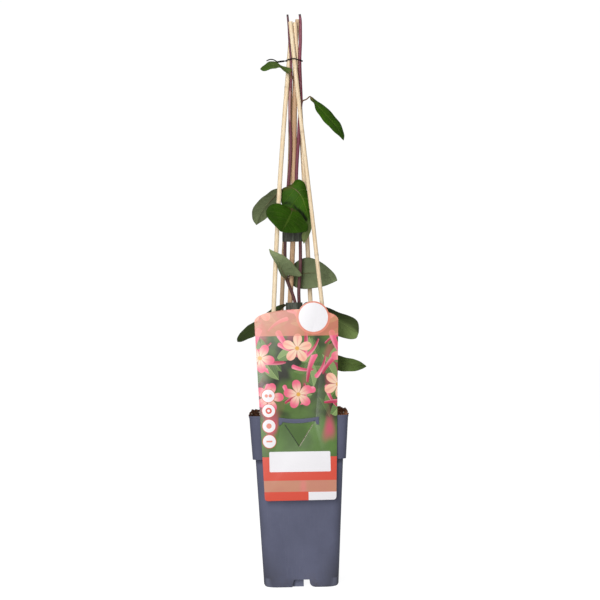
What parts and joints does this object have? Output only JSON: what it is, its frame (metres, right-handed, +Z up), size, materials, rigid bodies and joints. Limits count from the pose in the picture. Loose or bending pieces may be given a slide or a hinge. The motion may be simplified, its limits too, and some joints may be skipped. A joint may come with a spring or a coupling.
{
  "type": "potted honeysuckle vine",
  "caption": "Young climbing plant on tied bamboo canes in a tall square nursery pot with a hanging plant label.",
  "frame": {"origin": "middle of the pot's foot, on the ground", "axes": "+Z up, +X to the right, the label hangs on the side facing -Y"},
  "size_m": [0.1606, 0.1236, 0.703],
  "materials": {
    "pot": "satin, slate grey",
    "soil": "moist crumbly potting compost",
    "cane": "peeled bamboo, semi-matte",
    "stem": "smooth purple-brown bark",
    "leaf": "smooth green upper side, greyer underside",
    "tape": "satin dark green",
    "wire": "satin black coating",
    "label": "printed semi-gloss sheet"
  },
  "bodies": {
    "root": {"pot": "pot", "soil": "soil", "cane_front_left": "cane", "cane_front_right": "cane", "cane_back_left": "cane", "cane_back_right": "cane", "cane_centre": "cane", "stem_left": "stem", "stem_right": "stem", "tie_tape_upper": "tape", "tie_tape_lower": "tape", "wire_tie": "wire", "plant_label": "label", "leaf_top_left": "leaf", "leaf_top_right": "leaf", "leaf_mid_left": "leaf", "leaf_mid_arched": "leaf", "leaf_mid_front": "leaf", "leaf_low_left": "leaf", "leaf_low_right": "leaf", "leaf_label_left": "leaf", "leaf_label_right": "leaf", "leaf_side_right": "leaf", "leaf_back_right": "leaf", "leaf_back_left": "leaf", "leaf_base_front": "leaf"}
  },
  "joints": []
}
